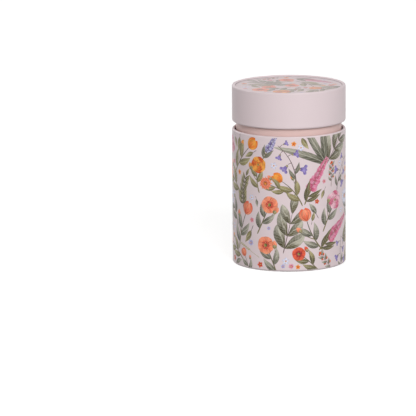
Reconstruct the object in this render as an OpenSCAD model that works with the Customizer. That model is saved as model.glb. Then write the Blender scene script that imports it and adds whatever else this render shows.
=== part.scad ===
// Round double-walled tinplate tea caddy with an inner and an outer lid.
// The origin is the centre of the foot, +Z points up, and the lids are closed.

/* [Body] */
// Outer diameter of the body and of the outer lid
body_d = 75; // [60:0.5:110]
// Height of the printed outer shell
shell_h = 89.8; // [60:0.1:160]
// Thickness of the tinplate
tin_t = 0.3; // [0.2:0.05:0.4]
// Rounding of the hemmed foot, inside and outside
foot_round = 1; // [0.8:0.1:1.5]
// Width of the flat ring that the foot stands on
foot_land = 1; // [0.5:0.1:3]
// Straight end of each hem, which presses on the disc that it holds
hem_leg = 0.05; // [0.05:0.05:0.6]
// Height of the pressed skirt round each end disc
skirt_h = 2.5; // [1.5:0.1:5]
// Height of the wall round the bottom of the inner can
liner_cup_h = 2; // [1.5:0.1:8]

/* [Neck] */
// Step from the outside of the body in to the outside of the neck
neck_step = 2.7; // [2.2:0.1:4]
// Height of the neck that shows under the closed lid
reveal = 4.8; // [2:0.1:12]
// Gap between the rolled rim of the shell and the neck
neck_gap = 0.9; // [0.3:0.1:1.2]
// Diameter of the curl round the top of the neck
neck_curl_d = 1.8; // [1.2:0.1:3]

/* [Outer lid] */
// Height of the outer lid
lid_h = 24.1; // [18:0.1:40]
// Rounding of the raised rim round the top, inside and outside
lid_rim_round = 0.95; // [0.8:0.05:1.5]
// Width of the flat crest of that rim
lid_rim_land = 0.3; // [0.2:0.1:2]
// Gap between the rolled edge of the lid and the neck
lid_clearance = 0.2; // [0.1:0.05:0.5]

/* [Inner lid] */
// Thickness of the folded flange that rests on the neck
flange_t = 0.8; // [0.6:0.05:1.2]
// Distance that the flange stays inside the outside of the neck
flange_inset = 0.2; // [0.1:0.05:0.6]
// Gap between the flange and the curl that it rests on
rest_gap = 0.05; // [0.02:0.01:0.2]
// Gap between the wall of the dish and the curl of the neck
plug_clearance = 0.2; // [0.1:0.05:0.4]
// Rounding inside the dish, where the floor meets the wall
dish_round = 1; // [0.5:0.1:3]
// Room between the top of the knob and the outer lid
knob_headroom = 1.4; // [0.5:0.1:6]

/* [Knob] */
// Largest diameter of the knob
knob_d = 13.5; // [11:0.5:17]
// Height of the knob over the floor of the dish
knob_h = 7.6; // [7:0.1:14]
// Radius of the domed top of the knob
crown_r = 11; // [9:0.5:30]
// Rounding between the dome and the underside of the knob
knob_round = 2.6; // [1:0.1:3.5]
// Depth of the finger groove round the foot of the knob
knob_undercut = 1.5; // [0.3:0.1:2.5]
// Diameter of the screw
screw_d = 3; // [2:0.5:4]
// Length of screw inside the knob
screw_grip = 5; // [3:0.5:6]
// Diameter of the screw head
head_d = 5.6; // [5:0.1:8]
// Height of the screw head
head_h = 1.6; // [1.2:0.1:2.4]
// Outer diameter of the washer
washer_d = 8; // [6:0.1:12]
// Thickness of the washer
washer_t = 0.5; // [0.3:0.1:1]
// Gap round the screw in the knob
thread_clearance = 0.05; // [0.02:0.01:0.1]
// Gap round the screw in the floor and in the washer
hole_clearance = 0.2; // [0.1:0.05:0.4]
// Depth of the hole in the knob past the end of the screw
drill_extra = 0.6; // [0.3:0.1:1]

/* [Seams] */
// Width of the folded seam down the inside of each tube
seam_w = 4.3; // [3:0.1:8]
// Layers of sheet that the fold adds inside the wall
seam_layers = 2; // [1:1:2]
// Distance between the ends of a seam and the curl or skirt next to them
seam_end = 0.5; // [0.2:0.1:3]

/* [Hidden] */

ground_pink = [0.86, 0.80, 0.81];
salmon = [0.85, 0.71, 0.68];
bare_tin = [0.75, 0.76, 0.77];
polished = [0.88, 0.87, 0.86];

// Radii
body_r = body_d / 2;
bore_r = body_r - tin_t;
neck_r = body_r - neck_step;
shell_curl_r = (neck_step - neck_gap) / 2;
lid_curl_r = (neck_step - lid_clearance) / 2;
neck_curl_r = neck_curl_d / 2;
liner_bore_r = neck_r - tin_t;
plug_r = neck_r - neck_curl_d - plug_clearance;
dish_r = plug_r - tin_t;
flange_r = neck_r - flange_inset;
knob_r = knob_d / 2;

// Heights
lid_bottom = shell_h + reveal;
top = lid_bottom + lid_h;
base_bottom = foot_round + hem_leg;
base_top = base_bottom + tin_t;
panel_top = top - lid_rim_round - hem_leg;
panel_bottom = panel_top - tin_t;
flange_bottom = panel_bottom - flange_t;
neck_top = flange_bottom - rest_gap;
floor_top = panel_bottom - knob_headroom - knob_h;
floor_bottom = floor_top - tin_t;
head_top = floor_bottom - washer_t;

seam_t = seam_layers * tin_t;
// Small overlap that lets one cut reach through a face
cut = 0.01;
$fn = 96;

// Sheet of revolution between two radii and two heights, as a half section
module wall(r_in, r_out, z_low, z_high) {
    translate([r_in, z_low]) square([r_out - r_in, z_high - z_low]);
}

// Section of a closed curl of sheet
module curl(r, z, curl_r) {
    translate([r, z]) difference() {
        circle(curl_r);
        circle(curl_r - tin_t);
    }
}

// Section of a hem that folds in from the wall, opens towards +Z and ends in a leg
module hem(hem_round, land) {
    inner_r = body_r - 2 * hem_round - land;
    difference() {
        union() {
            for (r = [inner_r + hem_round, body_r - hem_round])
                translate([r, hem_round]) circle(hem_round);
            wall(inner_r + hem_round, body_r - hem_round, 0, hem_round);
        }
        for (r = [inner_r + hem_round, body_r - hem_round])
            translate([r, hem_round]) circle(hem_round - tin_t);
        wall(inner_r + hem_round, body_r - hem_round, tin_t, hem_round + cut);
        wall(inner_r - cut, body_r + cut, hem_round, 2 * hem_round + cut);
    }
    wall(inner_r, inner_r + tin_t, hem_round, hem_round + hem_leg);
}

// Folded lock seam down the inside of a tube, at the back, between two heights
module seam(bore, z_low, z_high) {
    seam_angle = 2 * asin(seam_w / (2 * bore));
    rotate([0, 0, 90 - seam_angle / 2])
        rotate_extrude(angle = seam_angle)
            wall(bore - seam_t, bore + cut, z_low + seam_end, z_high - seam_end);
}

// End disc with a skirt, standing on z = 0 with the skirt up
module end_disc(disc_r, skirt) {
    rotate_extrude() {
        wall(0, disc_r, 0, tin_t);
        wall(disc_r - tin_t, disc_r, 0, skirt);
    }
}

module outer_shell() {
    color(ground_pink) {
        rotate_extrude() {
            wall(bore_r, body_r, foot_round, shell_h - shell_curl_r);
            curl(body_r - shell_curl_r, shell_h - shell_curl_r, shell_curl_r);
            hem(foot_round, foot_land);
        }
        seam(bore_r, base_bottom + skirt_h, shell_h - 2 * shell_curl_r);
    }
}

module base_disc() {
    color(bare_tin) translate([0, 0, base_bottom]) end_disc(bore_r, skirt_h);
}

// Inner can: its foot flange centres it in the skirt of the base disc
module liner_tube() {
    color(salmon) {
        rotate_extrude() {
            wall(liner_bore_r, neck_r, base_top, neck_top - neck_curl_r);
            wall(liner_bore_r, bore_r - tin_t, base_top, base_top + tin_t);
            curl(neck_r - neck_curl_r, neck_top - neck_curl_r, neck_curl_r);
        }
        seam(liner_bore_r, base_top + liner_cup_h, neck_top - neck_curl_d);
    }
}

module liner_base() {
    color(bare_tin) translate([0, 0, base_top]) end_disc(liner_bore_r, liner_cup_h);
}

// Half section of the dish: a rounded plug and the flange round its mouth
module dish_section() {
    outer_round = dish_round + tin_t;
    wall(0, plug_r - outer_round, floor_bottom, floor_top);
    intersection() {
        translate([plug_r - outer_round, floor_bottom + outer_round]) difference() {
            circle(outer_round);
            circle(dish_round);
        }
        wall(plug_r - outer_round, plug_r, floor_bottom, floor_bottom + outer_round);
    }
    wall(dish_r, plug_r, floor_bottom + outer_round, panel_bottom);
    wall(dish_r, flange_r - flange_t / 2, flange_bottom, panel_bottom);
    translate([flange_r - flange_t / 2, flange_bottom + flange_t / 2]) circle(flange_t / 2);
}

module inner_lid_pan() {
    color(ground_pink) difference() {
        rotate_extrude() dish_section();
        translate([0, 0, floor_bottom - cut])
            cylinder(r = screw_d / 2 + hole_clearance, h = tin_t + 2 * cut);
    }
}

// Half section of the knob: a dome that runs into a rounded edge, on a narrower foot
module knob_section() {
    edge_r = knob_r - knob_round;
    crown_z = knob_h - crown_r;
    edge_z = crown_z + sqrt(pow(crown_r - knob_round, 2) - pow(edge_r, 2));
    // The dome and the edge share a tangent on the line through their centres
    reach = 2 * crown_r / (crown_r - knob_round);
    intersection() {
        translate([0, crown_z]) circle(crown_r);
        polygon([[0, crown_z], [reach * edge_r, crown_z + reach * (edge_z - crown_z)],
                 [0, crown_z + 2 * crown_r]]);
        wall(0, knob_r, 0, knob_h);
    }
    intersection() {
        union() {
            translate([edge_r, edge_z]) circle(knob_round);
            wall(0, edge_r, edge_z - knob_round, edge_z);
            wall(0, knob_r - knob_undercut, 0, edge_z);
        }
        wall(0, knob_r, 0, knob_h);
    }
}

module knob() {
    color(polished) translate([0, 0, floor_top]) difference() {
        rotate_extrude() knob_section();
        translate([0, 0, -cut])
            cylinder(r = screw_d / 2 + thread_clearance, h = screw_grip + drill_extra + cut);
    }
}

module knob_screw() {
    slot_w = head_d / 6;
    color(bare_tin) difference() {
        union() {
            translate([0, 0, head_top - cut])
                cylinder(d = screw_d, h = floor_top + screw_grip - head_top + cut);
            translate([0, 0, head_top - head_h]) cylinder(d = head_d, h = head_h);
        }
        for (turn = [0, 90])
            rotate([0, 0, turn])
                translate([-head_d / 3, -slot_w / 2, head_top - head_h - cut])
                    cube([2 * head_d / 3, slot_w, head_h / 2 + cut]);
    }
}

module knob_washer() {
    color(bare_tin) translate([0, 0, head_top]) difference() {
        cylinder(d = washer_d, h = washer_t);
        translate([0, 0, -cut])
            cylinder(r = screw_d / 2 + hole_clearance, h = washer_t + 2 * cut);
    }
}

module outer_lid_band() {
    color(ground_pink) {
        rotate_extrude() {
            wall(bore_r, body_r, lid_bottom + lid_curl_r, top - lid_rim_round);
            curl(body_r - lid_curl_r, lid_bottom + lid_curl_r, lid_curl_r);
            translate([0, top]) mirror([0, 1]) hem(lid_rim_round, lid_rim_land);
        }
        seam(bore_r, lid_bottom + 2 * lid_curl_r, panel_top - skirt_h);
    }
}

module outer_lid_top() {
    color(ground_pink)
        translate([0, 0, panel_top]) mirror([0, 0, 1]) end_disc(bore_r, skirt_h);
}

outer_shell();
base_disc();
liner_tube();
liner_base();
inner_lid_pan();
knob();
knob_screw();
knob_washer();
outer_lid_band();
outer_lid_top();
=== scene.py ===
import math
import random

import bpy
import numpy as np
from mathutils import Matrix, Vector
from mathutils.geometry import delaunay_2d_cdt


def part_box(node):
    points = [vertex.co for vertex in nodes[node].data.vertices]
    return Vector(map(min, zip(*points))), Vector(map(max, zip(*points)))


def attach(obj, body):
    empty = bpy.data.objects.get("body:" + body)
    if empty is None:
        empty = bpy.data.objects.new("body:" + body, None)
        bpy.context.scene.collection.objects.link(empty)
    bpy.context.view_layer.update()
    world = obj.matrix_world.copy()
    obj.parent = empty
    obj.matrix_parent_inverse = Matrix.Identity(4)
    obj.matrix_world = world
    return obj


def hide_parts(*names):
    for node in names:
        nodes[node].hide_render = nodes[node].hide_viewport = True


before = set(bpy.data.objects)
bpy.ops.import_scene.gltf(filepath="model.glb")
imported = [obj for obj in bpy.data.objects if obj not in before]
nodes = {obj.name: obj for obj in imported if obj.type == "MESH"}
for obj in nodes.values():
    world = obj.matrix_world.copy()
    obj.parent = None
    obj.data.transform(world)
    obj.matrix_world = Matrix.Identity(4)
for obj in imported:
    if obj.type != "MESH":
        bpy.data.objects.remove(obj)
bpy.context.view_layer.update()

mm = 0.001
columns = 120  # facets round every turned piece, 3 degrees each
turn = 2 * math.pi


def linear(rgb):
    # sRGB from 0 to 255, to the linear numbers that sockets and colour attributes hold
    c = np.asarray(rgb, float) / 255
    return np.where(c <= 0.04045, c / 12.92, ((c + 0.055) / 1.055) ** 2.4)


def rgba(rgb):
    return (*linear(rgb), 1.0)


def addObject(name, data):
    item = bpy.data.objects.new(name, data)
    bpy.context.scene.collection.objects.link(item)
    return item


cameraSettings = {
    "distance": 2.6,  # from the middle of the foot, along the view
    "pitch": 11.22,  # degrees below the horizon
    "roll": 0.4,
    "aside": -0.05373,
    "lift": 0.03499,
    "lens": 338.5,
}


def placeCamera(s):
    pitch = math.radians(s["pitch"])
    forward = Vector((0, math.cos(pitch), -math.sin(pitch)))
    up = Vector((0, math.sin(pitch), math.cos(pitch)))
    data = bpy.data.cameras.new("camera")
    data.lens, data.sensor_width = s["lens"], 36
    data.clip_start, data.clip_end = 0.1, 60
    camera = addObject("camera", data)
    camera.location = -forward * s["distance"] + Vector((s["aside"], 0, 0)) + up * s["lift"]
    view = Matrix.Rotation(turn / 4 - pitch, 3, "X") @ Matrix.Rotation(-math.radians(s["roll"]), 3, "Z")
    camera.rotation_euler = view.to_euler()
    bpy.context.scene.camera = camera


placeCamera(cameraSettings)
print("camera placed")


class Value:
    # A socket that takes part in sums, so that a material reads as a formula
    def __init__(self, n, socket):
        self.n, self.socket = n, socket

    def __add__(self, other):
        return self.n.maths("ADD", self, other)

    def __mul__(self, other):
        return self.n.maths("MULTIPLY", self, other)

    def __sub__(self, other):
        return self.n.maths("SUBTRACT", self, other)

    def __rsub__(self, other):
        return self.n.maths("SUBTRACT", other, self)


class Nodes:
    # Short calls for building a node tree. What goes in is a Value, a number or a tuple.
    def __init__(self, tree):
        self.tree = tree

    def feed(self, socket, value):
        if isinstance(value, Value):
            self.tree.links.new(value.socket, socket)
        else:
            socket.default_value = value

    def add(self, kind, inputs=None, **settings):
        node = self.tree.nodes.new("ShaderNode" + kind)
        for key, value in settings.items():
            setattr(node, key, value)
        for key, value in (inputs or {}).items():
            self.feed(node.inputs[key], value)
        return node

    def value(self, kind, out, inputs=None, **settings):
        return Value(self, self.add(kind, inputs, **settings).outputs[out])

    def maths(self, operation, *values):
        return self.value("Math", 0, dict(enumerate(values)), operation=operation)

    def most(self, a, b):
        return self.maths("MAXIMUM", a, b)

    def stretched(self, vector, factors):
        return self.value("VectorMath", 0, {0: vector, 1: factors}, operation="MULTIPLY")

    def scaled(self, vector, factor):
        return self.value("VectorMath", 0, {0: vector, "Scale": factor}, operation="SCALE")

    def length(self, x, y):
        return self.value("VectorMath", "Value", {0: self.join(x, y, 0.0)}, operation="LENGTH")

    def split(self, vector):
        return [Value(self, socket) for socket in self.add("SeparateXYZ", {0: vector}).outputs]

    def join(self, x, y, z):
        return self.value("CombineXYZ", 0, {0: x, 1: y, 2: z})

    def blend(self, factor, a, b):
        return self.value("Mix", 2, {0: factor, 6: a, 7: b}, data_type="RGBA")

    def between(self, factor, a, b):
        return self.value("Mix", 0, {0: factor, 2: a, 3: b}, data_type="FLOAT")

    def step(self, value, low, high, toLow=0.0, toHigh=1.0, kind="SMOOTHSTEP"):
        return self.value("MapRange", "Result", {"Value": value, "From Min": low, "From Max": high,
                                                 "To Min": toLow, "To Max": toHigh}, interpolation_type=kind)

    def noise(self, vector, scale, detail=2.0, rough=0.5):
        return self.value("TexNoise", "Fac", {"Vector": vector, "Scale": scale, "Detail": detail,
                                              "Roughness": rough})

    def attribute(self, name, output):
        return self.value("Attribute", output, attribute_name=name)

    def place(self):
        # position in millimetres, which stays with the piece when it moves
        return self.scaled(self.value("TexCoord", "Object"), 1 / mm)

    def group(self, name, inputs):
        node = self.add("Group", inputs, node_tree=bpy.data.node_groups[name])
        return {socket.name: Value(self, socket) for socket in node.outputs}


socketKinds = {"color": "NodeSocketColor", "vector": "NodeSocketVector", "value": "NodeSocketFloat"}


def newGroup(name, inputs, outputs):
    # an input comes with its kind or, for a plain number, with its usual value
    tree = bpy.data.node_groups.new(name, "ShaderNodeTree")
    for label, kind in inputs.items():
        socket = tree.interface.new_socket(label, in_out="INPUT",
                                           socket_type=socketKinds.get(kind, "NodeSocketFloat"))
        if kind not in socketKinds:
            socket.default_value = kind
    for label, kind in outputs.items():
        tree.interface.new_socket(label, in_out="OUTPUT", socket_type=socketKinds[kind])
    n = Nodes(tree)
    given = {socket.name: Value(n, socket) for socket in tree.nodes.new("NodeGroupInput").outputs}
    return n, given, tree.nodes.new("NodeGroupOutput").inputs


# the number that the corners of a stroke carry, for what it is, and those of the bare ground
styles, groundStyle = {"plain": 0, "leaf": 1, "petal": 2, "eye": 3}, -1


def makePaintGroup():
    # One brush stroke of the print: Stroke holds the way along it, the way across it and its style
    n, given, out = newGroup(
        "paintStroke",
        {"Base Ink": "color", "Tip Ink": "color", "Stroke": "vector", "Brush": 0.0, "Streaks": 0.2,
         "Veins": 0.4, "Pooling": 0.2},
        {"Color": "color", "Cover": "value", "Height": "value"})
    along, across, style = n.split(given["Stroke"])
    leaf, petal, eye = (n.maths("COMPARE", style, styles[kind], 0.3) for kind in ("leaf", "petal", "eye"))
    cover = n.maths("GREATER_THAN", style, groundStyle / 2)
    side = n.maths("ABSOLUTE", across)
    seed = given["Brush"] * 61.0  # each stroke takes its own slice of the noise

    # uneven wash from the base to the tip, and bristle streaks along the stroke
    wash = n.noise(n.join(along * 2.6, across * 1.1, seed), 1.6)
    reach = (wash - 0.5) * 1.1 + n.maths("POWER", along, 1.15)
    color = n.blend(n.step(reach, 0.02, 0.98), given["Base Ink"], given["Tip Ink"])
    bristle = n.noise(n.join(along * 1.7, across * 8.0, seed), 1.5, 3.0)
    shade = n.step(bristle, 0.25, 0.75, -1.0, 1.0) * given["Streaks"] + 1.0
    shade = shade * n.step(across, -0.7, 0.9, 1.07, 0.86)
    # one half of a leaf lies in shade, and ink pools along the sides of a stroke
    shade = shade * (1.0 - leaf * n.step(across, 0.0, 0.12, 0.0, 0.2))
    shade = shade * (1.0 - given["Pooling"] * n.step(side, 0.7, 1.0))
    # petals are deeper towards the heart, and an eye is stippled
    shade = shade * (1.0 - petal * n.step(along, 0.0, 0.45, 0.3, 0.0))
    stipple = n.noise(n.join(along * 9.0, across * 4.5, seed), 2.2, 0.0)
    shade = shade * (1.0 - eye * n.step(stipple, 0.5, 0.62, 0.0, 0.35))

    # pale midrib and side veins on a leaf, and fine pale lines up a petal
    wave = n.maths("SINE", along * 52.0 - side * 8.0)
    vein = leaf * n.step(wave, 0.72, 1.0, 0.0, 0.42)
    rib = leaf * n.step(side, 0.04, 0.13, 0.85, 0.0)
    ray = petal * n.step(n.noise(n.join(0.0, across * 6.0, seed), 3.0), 0.52, 0.7, 0.0, 0.5)
    lines = n.most(n.most(vein, rib), ray) * given["Veins"] * n.step(along, 1.0, 0.8)
    pale = n.blend(0.55, given["Tip Ink"], rgba((246, 240, 224)))
    n.feed(out["Color"], n.blend(lines, n.scaled(color, shade), pale))
    n.feed(out["Cover"], cover)
    n.feed(out["Height"], cover * (bristle * 0.3 + 0.7))


def makeLacquerGroup():
    # Satin stoved lacquer: faint mottle, fine print grain and a little orange peel
    n, given, out = newGroup(
        "lacquerSkin",
        {"Color": "color", "Place": "vector", "Mottle": 0.03, "Gloss": 0.4, "Peel Size": 1.4},
        {"Color": "color", "Roughness": "value", "Height": "value"})
    cloud = n.noise(given["Place"], 0.045, 3.0)
    grain = n.noise(given["Place"], 3.2, 2.0, 0.6)
    shade = (cloud - 0.5 + (grain - 0.5) * 1.3) * given["Mottle"] + 1.0
    n.feed(out["Color"], n.scaled(given["Color"], shade))
    smudge = n.step(n.noise(given["Place"], 0.11, 3.0, 0.6), 0.5, 0.72)
    n.feed(out["Roughness"], given["Gloss"] + smudge * 0.06 + (grain - 0.5) * 0.07)
    peel = n.noise(n.scaled(given["Place"], n.maths("DIVIDE", 1.0, given["Peel Size"])), 1.0, 1.0)
    n.feed(out["Height"], peel + grain * 0.12)


def makeTinGroup():
    # Bright rolled tinplate: long fine streaks along X of Place, and small scuffs
    n, given, out = newGroup(
        "tinGrain",
        {"Color": "color", "Place": "vector", "Streaks": 0.1, "Gloss": 0.26},
        {"Color": "color", "Roughness": "value", "Height": "value"})
    streak = n.noise(n.stretched(given["Place"], (0.05, 5.0, 5.0)), 1.0, 3.0, 0.6)
    bloom = n.noise(given["Place"], 0.16, 2.0)
    scuff = n.step(n.noise(n.stretched(given["Place"], (0.6, 0.07, 0.6)), 1.0, 3.0, 0.7), 0.6, 0.72)
    shade = (streak - 0.5 + (bloom - 0.5) * 0.8) * given["Streaks"] + 1.0
    n.feed(out["Color"], n.scaled(given["Color"], shade))
    n.feed(out["Roughness"], (streak - 0.5) * 0.22 + given["Gloss"] + scuff * 0.12)
    n.feed(out["Height"], streak - scuff * 0.4)


edgeInputs = {"Place": "vector", "Edge Radius": 37.0, "Edge Height": 0.0, "Reach": 0.5}


def nearEdge(n, given):
    # 1 on the circle at Edge Radius and Edge Height, down to 0 at Reach from it
    x, y, z = n.split(given["Place"])
    gap = n.length(n.length(x, y) - given["Edge Radius"], z - given["Edge Height"])
    return n.step(gap, 0.0, given["Reach"], 1.0, 0.0)


def makeWearGroup():
    # Small rubs and nicks along one rolled edge
    n, given, out = newGroup("edgeWear", {**edgeInputs, "Amount": 0.3}, {"Mask": "value"})
    near = nearEdge(n, given)
    nicks = n.noise(given["Place"], 0.9, 4.0, 0.75)
    level = 1.02 - given["Amount"] * near
    n.feed(out["Mask"], near * n.step(nicks, level - 0.22, level))


def makePaintedShadeGroup():
    # Painted shade, a little uneven: the colour is darker in the crease between two pieces and along the foot
    # where it stands
    n, given, out = newGroup("paintedCreaseShade", {**edgeInputs, "Color": "color", "Depth": 0.5},
                             {"Color": "color"})
    uneven = n.step(n.noise(given["Place"], 0.5, 2.0), 0.25, 0.6, 0.75, 1.0)
    shade = 1.0 - nearEdge(n, given) * uneven * given["Depth"]
    n.feed(out["Color"], n.scaled(given["Color"], shade))


for makeGroup in (makePaintGroup, makeLacquerGroup, makeTinGroup, makeWearGroup, makePaintedShadeGroup):
    makeGroup()
print("node groups made")

tinColor = (221, 220, 218)
pinkGround = (224, 208, 211)


def newMaterial(name):
    material = bpy.data.materials.new(name)
    material.use_nodes = True
    material.node_tree.nodes.clear()
    n = Nodes(material.node_tree)
    shader = n.add("BsdfPrincipled")
    n.tree.links.new(shader.outputs[0], n.add("OutputMaterial").inputs[0])
    return material, n, shader


def surface(n, shader, color, rough, metallic, height, strength, depth):
    # depth is what a height of 1 stands for, in millimetres
    bump = n.value("Bump", 0, {"Strength": strength, "Distance": depth * mm, "Height": height})
    labels = ("Base Color", "Roughness", "Metallic", "Normal")
    for label, value in zip(labels, (color, rough, metallic, bump)):
        n.feed(shader.inputs[label], value)


def edgeValues(place, edge, last):
    return {"Place": place, **dict(zip(("Edge Radius", "Edge Height", "Reach", last), edge))}


def coatSheet(n, shader, color, bare, place, grainPlace, extraHeight, s):
    # lacquer on one side of the sheet, and bare tinplate where bare is 1 and on worn edges
    # painted shade darkens the colour at each crease listed
    for edge in s["paintedShadeCreases"]:
        color = n.group("paintedCreaseShade", {"Color": color, **edgeValues(place, edge, "Depth")})["Color"]
    for edge in s["wornEdges"]:
        bare = n.most(bare, n.group("edgeWear", edgeValues(place, edge, "Amount"))["Mask"])
    skin = n.group("lacquerSkin", {"Color": color, "Place": place, "Mottle": s["mottle"],
                                   "Gloss": s["gloss"], "Peel Size": s["peel"]})
    tin = n.group("tinGrain", {"Color": rgba(tinColor), "Place": grainPlace, "Streaks": s["tinStreaks"],
                               "Gloss": s["tinGloss"]})
    surface(n, shader, n.blend(bare, skin["Color"], tin["Color"]),
            n.between(bare, skin["Roughness"], tin["Roughness"]), bare,
            n.between(bare, skin["Height"] + extraHeight, tin["Height"]), s["bump"], 0.03)
    shader.inputs["Specular IOR Level"].default_value = s["specular"]


def makePrintMaterial(name, s):
    material, n, shader = newMaterial(name)
    place = n.place()
    paint = n.group("paintStroke", {
        "Base Ink": n.attribute("inkBase", "Color"), "Tip Ink": n.attribute("inkTip", "Color"),
        "Stroke": n.attribute("stroke", "Vector"), "Brush": n.attribute("brush", "Fac"),
        "Streaks": s["streaks"], "Veins": s["veins"], "Pooling": s["pooling"]})
    # the print is paled towards the ground colour; on the lid's top this is a painted sheen
    color = n.blend(paint["Cover"] * (1 - s["paleToGround"]), rgba(s["ground"]), paint["Color"])
    coatSheet(n, shader, color, n.attribute("bare", "Fac"), place, place, paint["Height"] * 0.25, s)
    return material


def makeLacquerMaterial(name, s):
    # for a CAD piece: bare inside a radius and between two heights
    material, n, shader = newMaterial(name)
    place = n.place()
    x, y, z = n.split(place)
    radius, angle = n.length(x, y), n.maths("ARCTAN2", x, y)
    bare = n.maths("LESS_THAN", radius, s["bareRadius"])
    bare = bare * n.maths("GREATER_THAN", z, s["bareLow"]) * n.maths("LESS_THAN", z, s["bareHigh"])
    # the sheet's edge shows as a hairline down the back, beside the folded seam
    fromEdge = n.maths("ABSOLUTE", angle * s["seamRadius"] - s["seamAside"])
    hairline = n.step(fromEdge, 0.04, 0.16, -3.0, 0.0)
    unrolled = n.join(angle * s["rollRadius"], z, radius)
    coatSheet(n, shader, rgba(s["color"]), bare, place, unrolled, hairline, s)
    return material


def makeTinMaterial(name, s):
    material, n, shader = newMaterial(name)
    tin = n.group("tinGrain", {"Color": rgba(s["color"]), "Place": n.place(), "Streaks": s["streaks"],
                               "Gloss": s["gloss"]})
    surface(n, shader, tin["Color"], tin["Roughness"], 1.0, tin["Height"], s["bump"], 0.02)
    return material


def makeTurnedMaterial(name, s):
    # turned and plated metal, with rings left by the tool round the Z axis and soft smears
    material, n, shader = newMaterial(name)
    place = n.place()
    x, y, z = n.split(place)
    rings = n.noise(n.join(n.length(x, y), z, 0.0), s["ringScale"], 2.0)
    smear = n.noise(n.stretched(place, (0.35, 0.35, 0.9)), 1.0, 3.0, 0.6)
    color = n.scaled(rgba(s["color"])[:3], (smear - 0.5) * s["tarnish"] + 1.0)
    rough = (rings - 0.5) * s["ringGloss"] + s["gloss"] + n.step(smear, 0.5, 0.75) * s["smear"]
    surface(n, shader, color, rough, 1.0, rings, s["bump"], 0.01)
    return material


inks = {
    "oliveDark": (84, 78, 50), "olive": (126, 117, 76), "oliveLight": (177, 167, 122),
    "sageDark": (98, 97, 82), "sage": (140, 137, 120), "sageLight": (189, 185, 169),
    "mist": (184, 186, 174), "moss": (64, 70, 46), "stem": (104, 84, 84), "twig": (118, 82, 60),
    "lime": (176, 168, 96), "orange": (236, 118, 40), "orangeDeep": (204, 74, 28),
    "amber": (244, 170, 72), "butter": (242, 208, 126), "coral": (230, 98, 66),
    "coralLight": (246, 158, 122), "brick": (182, 44, 36), "brickDeep": (126, 28, 30),
    "rose": (204, 84, 122), "rosePale": (230, 156, 184), "blush": (238, 196, 208),
    "plum": (104, 56, 94), "violet": (94, 70, 146), "violetPale": (154, 140, 200),
    "lilac": (208, 206, 232), "milk": (234, 232, 242), "cream": (242, 232, 208),
    "soot": (62, 44, 48),
}
# the inks at the base and at the tip of a stroke
oliveLeaf, deepLeaf = ("olive", "oliveLight"), ("oliveDark", "oliveLight")
sageLeaf, dullLeaf = ("sageDark", "sageLight"), ("sageDark", "sage")
stemInks, twigInks, greenStem = ("stem", "stem"), ("twig", "twig"), ("olive", "moss")
coral, orange, rose = ("coral", "coralLight"), ("orangeDeep", "amber"), ("rose", "blush")
white, yolk = ("milk", "lilac"), ("butter", "amber")
up = math.pi / 2


def arc(start, heading, length, bend, count):
    angles = heading + bend * (np.arange(count) + 0.5) / count
    steps = np.stack([np.cos(angles), np.sin(angles)], 1) * (length / count)
    return np.vstack([start, np.asarray(start, float) + np.cumsum(steps, 0)])


def widths(kind, n):
    # half width along a stroke, as a share of its widest
    t = np.linspace(0, 1, n)
    if kind == "stem":
        return (1 - 0.55 * t) * np.clip(t * 40 + 0.5, 0, 1)
    if kind == "bell":
        return (0.34 + 0.66 * t ** 1.5) * np.minimum(1, t * 5 + 0.25)
    if kind == "disc":
        return np.sqrt(np.clip(1 - (2 * t - 1) ** 2, 0, 1))
    swell, power = {"lance": (0.8, 1.1), "egg": (1.15, 0.75), "petal": (1.7, 0.62),
                    "strap": (0.62, 0.7), "drop": (1.9, 0.9)}[kind]
    return np.clip(np.sin(np.pi * t ** swell), 0, 1) ** power


def leaf(at, heading, length, width, bend, pair, kind="lance", count=9, style="leaf"):
    spine = arc(at, heading, length, bend, count)
    return {"spine": spine, "half": 0.5 * width * widths(kind, len(spine)), "inks": pair, "style": style}


def petal(at, heading, length, width, bend, pair, kind="egg", count=9):
    return leaf(at, heading, length, width, bend, pair, kind, count, "petal")


def dot(at, r, pair, style="plain"):
    spine = np.array([[at[0] + (k / 4 - 1) * r, at[1]] for k in range(9)])
    return {"spine": spine, "half": r * widths("disc", 9), "inks": pair, "style": style}


def stemLine(at, heading, length, bend, width, pair, count=16):
    line = leaf(at, heading, length, width, bend, pair, "stem", count, "plain")
    return line, line["spine"]


def headingAt(spine, k=-1):
    # the way that a stem points at its point k, or at its tip
    k %= len(spine)
    d = spine[min(k + 1, len(spine) - 1)] - spine[max(k - 1, 0)]
    return math.atan2(d[1], d[0])


def onStem(spine, k, lean, length, width, bend, pair, kind="lance", count=9):
    # a leaf at point k of a stem, turned away from it by the lean
    return leaf(spine[k], headingAt(spine, k) + lean, length, width, bend, pair, kind, count)


def around(at, r, angle):
    return at[0] + r * math.cos(angle), at[1] + r * math.sin(angle)


# flower heads: all take the same first values, so that any of them can crown a spray
def daisy(rng, at, heading, r, pair, petals, eye):
    out, start = [], rng.uniform(0, turn)
    for size, shift, inkPair in ((1.0, 0.0, pair), (0.82, 0.5, pair[::-1])):
        for k in range(petals):
            a = start + (k + shift) * turn / petals + rng.uniform(-0.05, 0.05)
            out.append(petal(around(at, 0.12 * r, a), a, r * size * rng.uniform(0.84, 0.9),
                             r * 3.0 * size / petals, rng.uniform(-0.15, 0.15), inkPair, "petal"))
    out.append(dot(at, r * 0.24, eye, "eye"))
    return out + [dot(around(at, 0.25 * r, k * turn / 9), r * 0.055, ("soot", "twig")) for k in range(9)]


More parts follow.
